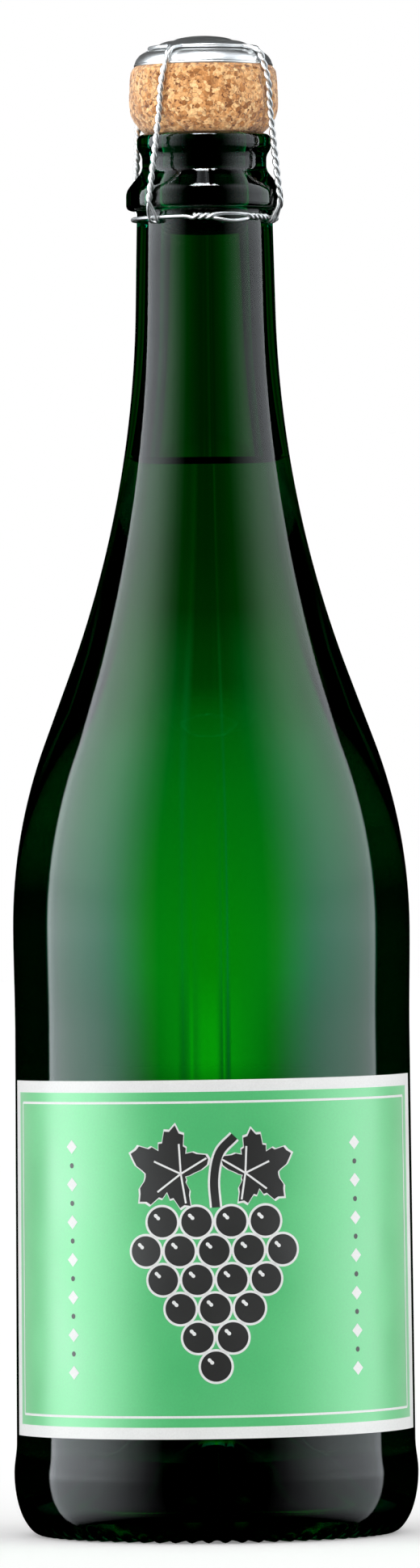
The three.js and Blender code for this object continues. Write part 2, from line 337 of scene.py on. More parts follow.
def bore_radius(z):
    return mix(bore_foot.x, BORE_RADIUS, (z - bore_foot.y) / (GLASS_HEIGHT - bore_foot.y))


def bell(top, foot, radius, steps):
    spots = np.linspace(0, 1, steps + 1)
    return [(radius * t, foot + (top - foot) * (1 + math.cos(math.pi * t)) / 2) for t in spots]


def inside_line(gap):
    """The inside of the glass from the middle of its floor to the top of the panel, drawn in by a gap."""
    foot = FLOOR_HEIGHT + gap
    wall = panel_radius(INNER_HEEL_HEIGHT) - WALL - gap
    line = bell(PUNT_HEIGHT + PUNT_THICKNESS + gap, foot, FLOOR_RADIUS, 20)
    for a in np.linspace(0, math.pi / 2, 9)[1:]:
        line.append((
            FLOOR_RADIUS + (wall - FLOOR_RADIUS) * math.sin(a),
            foot + (INNER_HEEL_HEIGHT - foot) * (1 - math.cos(a)),
        ))
    for z in np.linspace(INNER_HEEL_HEIGHT, PANEL_TOP[1], 8)[1:]:
        line.append((panel_radius(z) - WALL - gap, z))
    return line


def revolve(line, sides):
    """Vertices and faces of a line turned round Z. The line starts and ends on the axis."""
    angles = np.linspace(0, 2 * math.pi, sides, endpoint=False)
    verts = [(0.0, 0.0, line[0][1])]
    for r, z in line[1:-1]:
        verts += [(r * math.cos(a), r * math.sin(a), z) for a in angles]
    verts.append((0.0, 0.0, line[-1][1]))
    last = len(verts) - 1
    rings = len(line) - 2
    faces = []
    for j in range(sides):
        k = (j + 1) % sides
        faces.append((0, 1 + k, 1 + j))
        for i in range(rings - 1):
            low = 1 + i * sides
            high = low + sides
            faces.append((low + j, low + k, high + k, high + j))
        top = 1 + (rings - 1) * sides
        faces.append((top + j, top + k, last))
    return np.array(verts), faces


def add_piece(name, verts, faces, materials, replaces=None, face_slots=None, sharp=None):
    mesh = bpy.data.meshes.new(name)
    mesh.from_pydata((np.asarray(verts) * MM).tolist(), [], faces)
    for material in materials:
        mesh.materials.append(material)
    if face_slots is not None:
        mesh.polygons.foreach_set("material_index", np.array(face_slots, np.int32))
    mesh.shade_smooth()
    if sharp:
        mesh.set_sharp_from_angle(angle=math.radians(sharp))
    mesh.update()
    piece = bpy.data.objects.new(name, mesh)
    bpy.context.scene.collection.objects.link(piece)
    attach(piece, "root")
    if replaces:
        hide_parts(replaces)
    return piece


# Materials.


def new_material(name):
    material = bpy.data.materials.new(name)
    material.use_nodes = True
    tree = material.node_tree
    return material, tree, tree.nodes["Principled BSDF"]


def add_node(tree, kind, links=None, **settings):
    """A node with its settings, and with inputs linked or set by name or number."""
    made = tree.nodes.new(kind)
    for key, value in settings.items():
        setattr(made, key, value)
    for key, value in (links or {}).items():
        if isinstance(value, bpy.types.NodeSocket):
            tree.links.new(value, made.inputs[key])
        else:
            made.inputs[key].default_value = value
    return made


def set_inputs(shader, values):
    for name, value in values.items():
        shader.inputs[name].default_value = value


def add_ramp(tree, source, stops):
    ramp = add_node(tree, "ShaderNodeValToRGB", {"Fac": source})
    elements = ramp.color_ramp.elements
    while len(elements) < len(stops):
        elements.new(0.5)
    for element, (position, colour) in zip(elements, stops):
        element.position = position
        if not hasattr(colour, "__len__"):
            colour = (colour, colour, colour)
        element.color = (*colour, 1.0)
    return ramp.outputs["Color"]


def maths(tree, operation, *values):
    return add_node(tree, "ShaderNodeMath", dict(enumerate(values)), operation=operation).outputs[0]


def mix_colour(tree, factor, first, second, blend="MIX"):
    made = add_node(
        tree, "ShaderNodeMix", {"Factor": factor, 6: first, 7: second}, data_type="RGBA", blend_type=blend
    )
    return made.outputs[2]


def object_point(tree):
    return add_node(tree, "ShaderNodeTexCoord").outputs["Object"]


def noise_value(tree, scale, detail=3.0, roughness=0.5):
    links = {"Vector": object_point(tree), "Scale": scale, "Detail": detail, "Roughness": roughness}
    return add_node(tree, "ShaderNodeTexNoise", links).outputs["Fac"]


def add_bump(tree, shader, height, strength, distance):
    links = {"Height": height, "Strength": strength, "Distance": distance * MM}
    made = add_node(tree, "ShaderNodeBump", links)
    tree.links.new(made.outputs["Normal"], shader.inputs["Normal"])


def absorb(tree, colour, density):
    made = add_node(tree, "ShaderNodeVolumeAbsorption", {"Color": (*colour, 1.0), "Density": density})
    tree.links.new(made.outputs["Volume"], tree.nodes["Material Output"].inputs["Volume"])


def glass_material():
    """Green glass that mirrors less up the neck, as side lights that fall off with height would show it."""
    material, tree, shader = new_material("green_glass")
    set_inputs(shader, {
        "Base Color": (1.0, 1.0, 1.0, 1.0),
        "Transmission Weight": 1.0,
        "IOR": 1.52,
    })
    smears = noise_value(tree, 38.0, 4.0)
    tree.links.new(add_ramp(tree, smears, [(0.45, 0.0), (0.8, 0.03)]), shader.inputs["Roughness"])
    add_bump(tree, shader, noise_value(tree, 24.0, 1.0), 0.05, 1.0)
    up = add_node(tree, "ShaderNodeSeparateXYZ", {0: object_point(tree)}).outputs["Z"]
    mirror = add_ramp(tree, maths(tree, "DIVIDE", up, GLASS_HEIGHT * MM), [
        (0.518, 1.0), (0.588, 0.87), (0.658, 0.78), (0.751, 0.72), (0.817, 0.69), (0.87, 0.8),
        (0.914, 0.76), (0.935, 0.95),
    ])
    tree.links.new(mirror, shader.inputs["Specular Tint"])
    absorb(tree, (0.02, 0.855, 0.74), 450.0)
    return material


def wine_material():
    material, tree, shader = new_material("wine")
    set_inputs(shader, {
        "Base Color": (1.0, 1.0, 1.0, 1.0),
        "Transmission Weight": 1.0,
        "IOR": 1.34,
        "Roughness": 0.0,
    })
    absorb(tree, (0.93, 0.97, 0.3), 8.0)
    return material


def painted_shade_wine_surface_material():
    """The wine's surface as an opaque, nearly black sheet: painted shade for the dark inside of the neck,
    which the real surface mirrors.
    """
    material, tree, shader = new_material("wine_surface_painted_dark")
    ripple = noise_value(tree, 90.0, 2.0)
    tint = add_ramp(tree, ripple, [(0.3, (0.004, 0.012, 0.004)), (0.7, (0.006, 0.016, 0.006))])
    tree.links.new(tint, shader.inputs["Base Color"])
    set_inputs(shader, {
        "Roughness": 0.5,
        "Specular IOR Level": 0.0,
    })
    return material


def cork_material():
    material, tree, shader = new_material("cork")
    spot = object_point(tree)
    wobble = add_node(tree, "ShaderNodeTexNoise", {"Vector": spot, "Scale": 700.0, "Detail": 3.0})
    offset = add_node(
        tree, "ShaderNodeVectorMath",
        {0: wobble.outputs["Color"], 1: (0.0011, 0.0011, 0.0011)}, operation="MULTIPLY",
    )
    bent = add_node(
        tree, "ShaderNodeVectorMath", {0: spot, 1: offset.outputs[0]}, operation="ADD",
    ).outputs[0]
    cells = {"Vector": bent, "Scale": 1050.0, "Randomness": 1.0}
    grains = add_node(tree, "ShaderNodeTexVoronoi", cells)
    shade = add_node(tree, "ShaderNodeSeparateColor", {"Color": grains.outputs["Color"]}).outputs[0]
    edges = add_node(tree, "ShaderNodeTexVoronoi", cells, feature="DISTANCE_TO_EDGE").outputs["Distance"]
    grain = add_ramp(tree, shade, [
        (0.0, (0.28, 0.1, 0.022)),
        (0.16, (0.5, 0.21, 0.06)),
        (0.5, (0.72, 0.355, 0.13)),
        (1.0, (0.93, 0.58, 0.27)),
    ])
    fine = noise_value(tree, 1800.0, 4.0, 0.7)
    flecks = add_ramp(tree, fine, [(0.34, 0.55), (0.62, 1.12)])
    mottled = mix_colour(tree, 1.0, grain, flecks, "MULTIPLY")
    seams = add_ramp(tree, edges, [(0.0, 1.0), (0.07, 0.0)])
    patchy = add_ramp(tree, noise_value(tree, 330.0, 2.0), [(0.42, 0.0), (0.62, 0.9)])
    specks = add_ramp(tree, noise_value(tree, 1100.0, 2.0), [(0.61, 0.0), (0.67, 1.0)])
    dark = maths(tree, "MAXIMUM", maths(tree, "MULTIPLY", seams, patchy), specks)
    colour = mix_colour(tree, dark, mottled, (0.16, 0.05, 0.01, 1.0))
    tree.links.new(colour, shader.inputs["Base Color"])
    set_inputs(shader, {
        "Roughness": 0.85,
        "Specular IOR Level": 0.25,
        "Sheen Weight": 0.4,
        "Sheen Roughness": 0.5,
    })
    rough = maths(tree, "SUBTRACT", fine, maths(tree, "MULTIPLY", dark, 0.8))
    add_bump(tree, shader, rough, 0.6, 0.3)
    return material


def metal_material(name, colour, low, high, scale, bump):
    material, tree, shader = new_material(name)
    shader.inputs["Metallic"].default_value = 1.0
    stain = noise_value(tree, scale, 5.0, 0.6)
    dull = tuple(c * 0.82 for c in colour)
    tree.links.new(add_ramp(tree, stain, [(0.35, dull), (0.6, colour)]), shader.inputs["Base Color"])
    tree.links.new(add_ramp(tree, stain, [(0.3, high), (0.7, low)]), shader.inputs["Roughness"])
    add_bump(tree, shader, noise_value(tree, scale * 6.0, 3.0), bump, 0.1)
    return material


def paper_material(name, colour, roughness, shine, glow=None):
    material, tree, shader = new_material(name)
    fibres = noise_value(tree, 2600.0, 3.0, 0.7)
    cloud = noise_value(tree, 60.0, 2.0)
    tone = maths(tree, "ADD", maths(tree, "MULTIPLY", fibres, 0.5), maths(tree, "MULTIPLY", cloud, 0.5))
    pale = tuple(min(1.0, c * 1.05 + 0.004) for c in colour)
    deep = tuple(c * 0.94 for c in colour)
    tree.links.new(add_ramp(tree, tone, [(0.38, deep), (0.62, pale)]), shader.inputs["Base Color"])
    gloss = add_ramp(tree, cloud, [(0.3, roughness - 0.04), (0.7, roughness + 0.04)])
    tree.links.new(gloss, shader.inputs["Roughness"])
    set_inputs(shader, {
        "IOR": 2.0,
        "Specular IOR Level": shine,
        "Sheen Weight": shine,
        "Sheen Roughness": 0.5,
    })
    add_bump(tree, shader, fibres, 0.12, 0.05)
    # A glow is painted light on the paper, not a lamp.
    if glow:
        shader.inputs["Emission Color"].default_value = (*glow, 1.0)
        shader.inputs["Emission Strength"].default_value = PAINTED_GLOW_STRENGTH
    return material


GLASS = glass_material()
WINE = wine_material()
WINE_SURFACE_PAINTED_DARK = painted_shade_wine_surface_material()
CORK = cork_material()
TINPLATE = metal_material("cap_metal", (0.94, 0.95, 0.95), 0.29, 0.41, 90.0, 0.08)
WIRE = metal_material("wire", (0.95, 0.96, 0.96), 0.36, 0.48, 300.0, 0.1)
GREEN_PAPER = paper_material("label_green", (0.028, 0.69, 0.175), 0.36, 0.85)
WHITE_PAPER = paper_material("label_white", (0.9, 0.91, 0.9), 0.5, 0.5)
# The back of the label is given a faint green glow: painted light for what reaches it through the glass.
BACK_PAPER_PAINTED_GLOW = paper_material("label_back_painted_glow", (0.75, 0.8, 0.55), 0.6, 0.3, glow=(0.7, 1.0, 0.35))
BLACK_INK = paper_material("label_black", (0.016, 0.016, 0.015), 0.45, 0.4)


# Glass.


def glass_line():
    line = bell(PUNT_HEIGHT, 0.0, RING_INNER, 30)
    line += [(r, 0.0) for r in np.linspace(RING_INNER, RING_OUTER, 6)[1:]]
    for a in np.linspace(0, math.pi / 2, 19)[1:]:
        line.append((RING_OUTER + HEEL_ROUND * math.sin(a), HEEL_HEIGHT * (1 - math.cos(a))))
    for t in np.linspace(0, 1, 7)[1:]:
        line.append((mix(HEEL_RADIUS, PANEL_BOTTOM[0], ease(t)), mix(HEEL_HEIGHT, PANEL_BOTTOM[1], t)))
    for z in np.linspace(PANEL_BOTTOM[1], PANEL_TOP[1], 8)[1:]:
        line.append((panel_radius(z), z))
    for t in np.linspace(0, 1, 7)[1:-1]:
        line.append((mix(PANEL_TOP[0], SHOULDER[0], ease(t)), mix(PANEL_TOP[1], SHOULDER[1], t)))
    line += shoulder_line(0.0, NECK_LEAN, 16, 26)
    line += rounded([
        (neck_radius(NECK_STRAIGHT_FROM), NECK_STRAIGHT_FROM, 0.0),
        (neck_radius(COLLAR_BOTTOM), COLLAR_BOTTOM, 0.9),
        (COLLAR_RADIUS, COLLAR_BOTTOM, 1.2),
        (COLLAR_RADIUS, COLLAR_TOP, 1.2),
        (GROOVE_RADIUS, GROOVE_BOTTOM, 1.0),
        (GROOVE_RADIUS, GROOVE_TOP, 0.8),
        (LIP_RADIUS, LIP_BOTTOM, 0.7),
        (LIP_RADIUS, GLASS_HEIGHT, 1.5),
        (BORE_RADIUS + 0.4, GLASS_HEIGHT, 0.6),
        (bore_radius(BORE_STRAIGHT_FROM), BORE_STRAIGHT_FROM, 0.0),
    ])
    line += [(bore_radius(z), z) for z in np.linspace(BORE_STRAIGHT_FROM, bore_foot.y, 9)[1:-1]]
    line += shoulder_line(WALL, NECK_LEAN, 14, 20)[::-1]
    return line + inside_line(0.0)[::-1]


def knurl_and_seam(verts):
    """Scallops the ring that the bottle stands on, and raises the two mould seams."""
    angle = np.arctan2(verts[:, 1], verts[:, 0])
    radius = np.hypot(verts[:, 0], verts[:, 1])
    z = verts[:, 2]
    lift = np.interp(radius, KNURL_RADII, [0, 1, 1, 0])
    lift[z > KNURL_TOP] = 0
    verts[:, 2] = z + lift * KNURL_DEPTH * (1 - np.cos(KNURLS * angle)) / 2
    radii, heights = np.transpose(OUTER_LINE)
    outside = (z > SEAM_FOOT) & (radius > np.interp(z, heights, radii - SEAM_MARGIN))
    front = np.degrees(np.arctan2(verts[:, 0], -verts[:, 1]))
    for seam in SEAM_ANGLES:
        off = np.abs((front - seam + 180) % 360 - 180) * math.pi / 180 * radius
        rise = np.where(outside, SEAM_HEIGHT * np.exp(-(off / SEAM_WIDTH) ** 2), 0)
        grow = 1 + rise / np.maximum(radius, 1)
        verts[:, 0] *= grow
        verts[:, 1] *= grow
    return verts


OUTER_LINE = [(RING_OUTER, 0.0), (HEEL_RADIUS, HEEL_HEIGHT), PANEL_TOP]
OUTER_LINE += shoulder_line(0.0, NECK_LEAN, 8, 12)
OUTER_LINE += [(neck_radius(COLLAR_BOTTOM), COLLAR_BOTTOM), (GROOVE_RADIUS, GLASS_HEIGHT)]
verts, faces = revolve(glass_line(), GLASS_SIDES)
add_piece("glass_body", knurl_and_seam(verts), faces, [GLASS], "bottle_glass")


# Wine.


def wine_line():
    depth = WALL - WINE_INTO_WALL
    rim = FILL_HEIGHT + MENISCUS_RISE
    lean = math.asin((flare_centre.y - rim) / (FLARE_ARC + depth))
    line = inside_line(-WINE_INTO_WALL) + shoulder_line(depth, lean, 14, 18)
    edge = line[-1][0]
    for back in MENISCUS_SPOTS:
        line.append((edge - back, FILL_HEIGHT + MENISCUS_RISE * math.exp(-back / MENISCUS_REACH)))
    return line + [(0.0, FILL_HEIGHT)]


def on_top(face):
    """Whether a face belongs to the wine's surface: all of it is high, and it spans some of the radius."""
    heights = [verts[i][2] for i in face]
    reach = [math.hypot(verts[i][0], verts[i][1]) for i in face]
    return min(heights) > FILL_HEIGHT - 0.01 and min(reach) < max(reach) - 0.2


verts, faces = revolve(wine_line(), WINE_SIDES)
# The wine's top faces get the nearly black sheet of painted shade.
tops = [int(on_top(face)) for face in faces]
add_piece("wine_fill", verts, faces, [WINE, WINE_SURFACE_PAINTED_DARK], "wine", tops, sharp=60)


# Cork.


def cork_line():
    foot = GLASS_HEIGHT - SHANK_LENGTH
    edge = foot + SHANK_EDGE
    head = GLASS_HEIGHT + CORK_GAP
    top = CAP_RIM_HEIGHT - CORK_GAP
    side = spline([
        (CORK_FOOT_RADIUS, head),
        *[(radius, head + rise) for radius, rise in CORK_SIDE],
        (CORK_RADIUS, mix(head, top, CORK_BELLY)),
        (CORK_RADIUS - CORK_BROW[0], top - CORK_BROW[1]),
        (CAP_RIM_RADIUS + 2 * CORK_GAP, top),
    ], 8)
    crown = CAP_SHOULDER_ARC - CAP_SHEET - 2 * CORK_GAP
    line = [(0.0, foot), (bore_radius(foot) - SHANK_CHAMFER, foot), (bore_radius(edge) - CORK_GAP, edge)]
    line += [(bore_radius(z) - CORK_GAP, z) for z in np.linspace(edge, head, 9)[1:]]
    line += [tuple(p) for p in side]
    line += arc(CAP_RIM_RADIUS - CAP_SHOULDER_ARC, top, crown, 0, math.pi / 2, 6)[1:]
    return line + [(0.0, top + crown)]


def weather_cork(verts):
    """Presses small pits, granule joints and the marks of the wire legs into the cork's head."""
    out = verts.copy()
    for i, (x, y, z) in enumerate(verts):
        radius = math.hypot(x, y)
        if z < GLASS_HEIGHT or radius < MARK_RADIUS or z > CAP_RIM_HEIGHT - MARK_MARGIN:
            continue
        spot = Vector((x, y, z))
        near = noise.voronoi(spot * GRAIN_SCALE)[0]
        joint = max(0.0, 1 - (near[1] - near[0]) / JOINT_WIDTH) * JOINT_DEPTH
        pit = ease((noise.noise(spot * PIT_SCALE) - PIT_LEVEL) / PIT_EDGE) * PIT_DEPTH
        swell = noise.noise(spot * SWELL_SCALE) * SWELL_HEIGHT
        front = math.degrees(math.atan2(x, -y))
        down = (HOOP_HEIGHT - z) / (HOOP_HEIGHT - BELT_HEIGHT)
        pressed = 0.0
        for top, foot in LEGS:
            off = math.radians((front - mix(top, foot, down) + 180) % 360 - 180) * radius
            pressed += PRESS_DEPTH * math.exp(-((off / PRESS_WIDTH) ** 2))
        grow = 1 + (swell - joint - pit - pressed) / radius
        out[i, 0] = x * grow
        out[i, 1] = y * grow
    return out


verts, faces = revolve(cork_line(), CORK_SIDES)
stopper = add_piece("cork_stopper", weather_cork(verts), faces, [CORK], "cork")


# Cap.


def cap_face(depth):
    """One face of the sheet from its rim to the middle: bead, shoulder, hoop groove, pressed ring, dome."""
    centre = CAP_RIM_RADIUS - CAP_SHOULDER_ARC
    lean = math.acos((HOOP_RADIUS - centre) / CAP_SHOULDER_ARC)
    line = arc(centre, CAP_RIM_HEIGHT, CAP_SHOULDER_ARC - depth, CAP_RIM_LEAN, lean, 14)
    edge = math.acos(CAP_DOME_RADIUS / CAP_DOME_ARC)
    for r, z in arc(0.0, CAP_TOP - CAP_DOME_ARC, CAP_DOME_ARC - depth, edge, math.pi / 2, 24):
        off = (r - PRESSED_RING_RADIUS) / PRESSED_RING_WIDTH
        line.append((max(r, 0.0), z - PRESSED_RING_DEPTH * math.exp(-(off ** 2))))
    return line


def cap_line():
    outer = cap_face(0.0)
    inner = cap_face(CAP_SHEET)
    bead = arc(
        CAP_RIM_RADIUS - BEAD_INSET, CAP_RIM_HEIGHT + BEAD_RISE, BEAD_RADIUS,
        -math.pi * 0.95, math.pi * 0.35, 8,
    )
    return inner[::-1] + bead + outer


verts, faces = revolve(cap_line(), CAP_SIDES)
plate = add_piece("cap_plate", verts, faces, [TINPLATE], "cap")


# Wires.


def tube(points, radius, sides=8, closed=False):
    """A round wire along points, with its section carried along without twisting."""
    p = np.asarray(points, float)
    count = len(p)
    if closed:
        tangents = np.roll(p, -1, 0) - np.roll(p, 1, 0)
    else:
        tangents = np.gradient(p, axis=0)
    tangents /= np.linalg.norm(tangents, axis=1)[:, None]
    side = np.cross(tangents[0], [0.3, 0.2, 0.93])
    side /= np.linalg.norm(side)
    sections = []
    for t in tangents:
        side = side - t * np.dot(side, t)
        side /= np.linalg.norm(side)
        sections.append((side.copy(), np.cross(t, side)))
    turn = 0.0
    if closed:
        back = sections[0][0]
        turn = math.atan2(np.dot(back, sections[-1][1]), np.dot(back, sections[-1][0]))
    verts = []
    for i, (a, b) in enumerate(sections):
        for k in range(sides):
            angle = 2 * math.pi * k / sides + turn * i / max(count - 1, 1)
            verts.append(p[i] + radius * (a * math.cos(angle) + b * math.sin(angle)))
    faces = []
    for i in range(count if closed else count - 1):
        low = i * sides
        high = ((i + 1) % count) * sides
        for k in range(sides):
            n = (k + 1) % sides
            faces.append((low + k, low + n, high + n, high + k))
    if not closed:
        faces.append(tuple(reversed(range(sides))))
        faces.append(tuple(range((count - 1) * sides, count * sides)))
    return np.array(verts), faces


def leg_centre(top, foot):
    """Places down a leg from the hoop to under the belt, with the outward and sideways directions."""
    clear = STRAND_RADIUS + PAIR_OFFSET + LEG_GAP
    over = CAP_SHOULDER_ARC + clear
    centre = CAP_RIM_RADIUS - CAP_SHOULDER_ARC
    lean = math.acos((HOOP_RADIUS + LEG_CAP_REACH - centre) / over)
    route = arc(centre, CAP_RIM_HEIGHT, over, lean, LEG_CAP_LEAN, 4)
    route += [
        (CORK_RADIUS + clear - LEG_SINK, CAP_RIM_HEIGHT - LEG_CORK_MARGIN),
        (CORK_RADIUS + clear - LEG_SINK, GLASS_HEIGHT + LEG_CORK_MARGIN),
        (COLLAR_RADIUS + clear, COLLAR_TOP),
        (COLLAR_RADIUS + clear, COLLAR_BOTTOM + 1),
    ]
    hook = BELT_WIRE + STRAND_RADIUS + HOOK_GAP
    route += arc(BELT_RADIUS, BELT_HEIGHT, hook, HOOK_START, -HOOK_TURN, 4)
    line = spline(route, 12)
    steps = np.hypot(*np.diff(line, axis=0).T)
    run = np.concatenate([[0], np.cumsum(steps)])
    even = np.linspace(0, run[-1], LEG_PLACES)
    r = np.interp(even, run, line[:, 0])
    z = np.interp(even, run, line[:, 1])
    down = np.clip((HOOP_HEIGHT - z) / (HOOP_HEIGHT - BELT_HEIGHT), 0, 1)
    azimuth = mix(top, foot, down)
    places = np.array([around(*spot) for spot in zip(r, z, azimuth)])
    sideways = np.array([around(1, 0, a + 90) for a in azimuth])
    tangents = np.gradient(places, axis=0)
    outward = np.cross(sideways, tangents)
    outward /= np.linalg.norm(outward, axis=1)[:, None]
    return even, places, sideways, outward


def strand_pair(top, foot):
    """The two strands of a leg from the hoop down, twisted together and parted round the belt."""
    run, places, sideways, outward = leg_centre(top, foot)
    start, stop = TWIST_FROM, run[-1] - TWIST_END
    turns = round((stop - start) / TWIST_PITCH * 2) * math.pi
    phase = turns * np.clip((run - start) / (stop - start), 0, 1)
    part = PART_FOOT[0] * np.array([ease((s - stop) / PART_FOOT[1]) for s in run])
    part += PART_HEAD[0] * np.array([ease((start - s) / PART_HEAD[1]) for s in run])
    swing = (PAIR_OFFSET + part) * np.cos(phase)
    push = PAIR_OFFSET * np.sin(phase)
    shift = sideways * swing[:, None] + outward * push[:, None]
    return places - shift, places + shift


def hood_path():
    """One closed wire: along the hoop to a leg, down one strand, round under the belt and up the other."""
    path = []
    order = sorted(LEGS)
    for i, (top, foot) in enumerate(order):
        left, right = strand_pair(top, foot)
        path += list(left[LEG_SKIP:])
        bend = (left[-1] + right[-1]) / 2 + (left[-1] - left[-4]) * BEND_REACH
        path.append(bend)
        path += list(right[LEG_SKIP:][::-1])
        following = order[(i + 1) % len(order)][0] + (360 if i + 1 == len(order) else 0)
        for a in np.arange(top + HOOP_GAP, following - HOOP_GAP + 0.1, HOOP_STEP):
            path.append(around(HOOP_RADIUS, HOOP_HEIGHT, a))
    return np.array(path)


def evened(points, step, closed):
    """The same line with places at equal distances, and its corners rounded off."""
    p = np.array(points, float)
    if closed:
        p = np.vstack([p, p[:1]])
    lengths = np.linalg.norm(np.diff(p, axis=0), axis=1)
    run = np.concatenate([[0], np.cumsum(lengths)])
    count = int(run[-1] / step)
    even = np.linspace(0, run[-1], count, endpoint=not closed)
    out = np.column_stack([np.interp(even, run, p[:, k]) for k in range(3)])
    for _ in range(3):
        if closed:
            out = (np.roll(out, 1, 0) + 2 * out + np.roll(out, -1, 0)) / 4
        else:
            out[1:-1] = (out[:-2] + 2 * out[1:-1] + out[2:]) / 4
    return out


verts, faces = tube(evened(hood_path(), CAGE_STEP, True), STRAND_RADIUS, WIRE_SIDES, closed=True)
cage = add_piece("wire_cage", verts, faces, [WIRE], "wire_hood")


def belt_strands():
    """The belt's wire round the neck, and the doubled end that is twisted on it round a narrow eye."""
    ring, second = [], []
    for a in np.arange(-180.0, 180.0, BELT_ANGLE_STEP):
        rise, out = 0.0, 0.0
        pair = None
        for start, stop, halves in TWISTS:
            if start <= a <= stop:
                phase = math.pi * halves * (a - start) / (stop - start)
                pair = (math.cos(phase), math.sin(phase))
        middle = TWISTS[0][1] < a < TWISTS[1][0]
        flip = -1 if TWISTS[0][2] % 2 and a > TWISTS[0][1] else 1
        if pair:
            rise, out = -pair[0] * BELT_WIRE * flip, pair[1] * BELT_WIRE
        elif middle:
            t = (a - TWISTS[0][1]) / (TWISTS[1][0] - TWISTS[0][1])
            rise = -(BELT_WIRE + EYE_LIFT * EYE_LOWER_SHARE * math.sin(math.pi * t)) * flip
        elif TWISTS[0][0] - TWIST_EASE < a < TWISTS[0][0]:
            rise = -BELT_WIRE * ease((a - TWISTS[0][0] + TWIST_EASE) / TWIST_EASE)
        elif TWISTS[1][1] < a < TWISTS[1][1] + TWIST_EASE:
            last = math.cos(math.pi * TWISTS[1][2]) * flip
            rise = -BELT_WIRE * last * ease((TWISTS[1][1] + TWIST_EASE - a) / TWIST_EASE)
        ring.append(around(BELT_RADIUS + out, BELT_HEIGHT + rise, a))
        if pair or middle:
            lift = -rise
            if middle:
                lift += flip * EYE_LIFT * math.sin(math.pi * t)
            second.append(around(BELT_RADIUS - out, BELT_HEIGHT + lift, a))
    return np.array(ring), np.array(second)


ring, second = belt_strands()
ring_verts, ring_faces = tube(evened(ring, BELT_STEP, True), BELT_WIRE, WIRE_SIDES, closed=True)
end_verts, end_faces = tube(evened(second, BELT_STEP, False), BELT_WIRE, WIRE_SIDES)
joined = [tuple(i + len(ring_verts) for i in face) for face in end_faces]
belt = add_piece(
    "belt_strand", np.vstack([ring_verts, end_verts]), ring_faces + joined, [WIRE], "belt_wire"
)


# Label.

label_centre = LABEL_BOTTOM + LABEL_HEIGHT / 2
half_width = PANEL_TOP[0] * LABEL_HALF_ANGLE


def on_label(u, v, lift):
    """A place on the paper, u to the right and v up from the label's middle, lifted off the glass."""
    across = u * math.cos(LABEL_SKEW) - v * math.sin(LABEL_SKEW)
    height = label_centre + u * math.sin(LABEL_SKEW) + v * math.cos(LABEL_SKEW)
    radius = panel_radius(height) + lift
    return around(radius, height, math.degrees(across / PANEL_TOP[0]))


def label_paper():
    inner_u = half_width - BORDER_SIDE
    inner_v = LABEL_HEIGHT / 2 - BORDER_TOP
    us = np.concatenate([
        np.linspace(-half_width, -inner_u, 4)[:-1],
        np.linspace(-inner_u, inner_u, 100),
        np.linspace(inner_u, half_width, 4)[1:],
    ])
    vs = np.concatenate([
        np.linspace(-LABEL_HEIGHT / 2, -inner_v, 3)[:-1],
        np.linspace(-inner_v, inner_v, 40),
        np.linspace(inner_v, LABEL_HEIGHT / 2, 3)[1:],
    ])
    columns = len(us)
    rows = len(vs)
    verts = []
    for lift in (LABEL_FACE, LABEL_BACK):
        verts += [on_label(u, v, lift) for v in vs for u in us]
    layer = columns * rows
    faces, slots = [], []
    for j in range(rows - 1):
        for i in range(columns - 1):
            a = j * columns + i
            quad = (a, a + 1, a + 1 + columns, a + columns)
            faces.append(quad)
            inside = abs(us[i] + us[i + 1]) / 2 < inner_u and abs(vs[j] + vs[j + 1]) / 2 < inner_v
            slots.append(0 if inside else 1)
            faces.append(tuple(layer + k for k in reversed(quad)))
            slots.append(2)
    rim = list(range(columns))
    rim += [j * columns + columns - 1 for j in range(1, rows)]
    rim += [(rows - 1) * columns + i for i in range(columns - 2, -1, -1)]
    rim += [j * columns for j in range(rows - 2, 0, -1)]
    for a, b in zip(rim, rim[1:] + rim[:1]):
        faces.append((b, a, layer + a, layer + b))
        slots.append(1)
    add_piece(
        "label_paper", verts, faces, [GREEN_PAPER, WHITE_PAPER, BACK_PAPER_PAINTED_GLOW], "label", slots,
        sharp=40,
    )


label_paper()

print_verts, print_faces, print_slots = [], [], []


def ink(flat, quads, colour, layer=1):
    """Adds flat places (u, v) and their faces to the print, one ink film or more above the paper."""
    base = len(print_verts)
    lift = LABEL_FACE + INK_LIFT * layer
    print_verts.extend(on_label(u, v, lift) for u, v in flat)
    print_faces.extend(tuple(base + k for k in quad) for quad in quads)
    print_slots.extend([colour] * len(quads))


def blot(u, v, outline, colour, layer=1, rings=3):
    """A filled shape round (u, v) whose outline gives a distance for each angle."""
    angles = np.linspace(0, 2 * math.pi, BLOT_SIDES, endpoint=False)
    flat = [(u, v)]
    for k in range(1, rings + 1):
        flat += [
            (u + outline(a) * k / rings * math.cos(a), v + outline(a) * k / rings * math.sin(a))
            for a in angles
        ]
    n = len(angles)
    quads = [(0, 1 + i, 1 + (i + 1) % n) for i in range(n)]
    for k in range(rings - 1):
        low = 1 + k * n
        quads += [(low + i, low + n + i, low + n + (i + 1) % n, low + (i + 1) % n) for i in range(n)]
    ink(flat, quads, colour, layer)


def stroke(points, width, colour, layer=1):
    """A line of even width through places on the label."""
    p = np.array(points, float)
    along = np.gradient(p, axis=0)
    along /= np.linalg.norm(along, axis=1)[:, None]
    across = np.column_stack([-along[:, 1], along[:, 0]]) * width / 2
    flat = [tuple(spot) for spot in p + across] + [tuple(spot) for spot in p - across]
    n = len(p)
    ink(flat, [(i + n, i + n + 1, i + 1, i) for i in range(n - 1)], colour, layer)


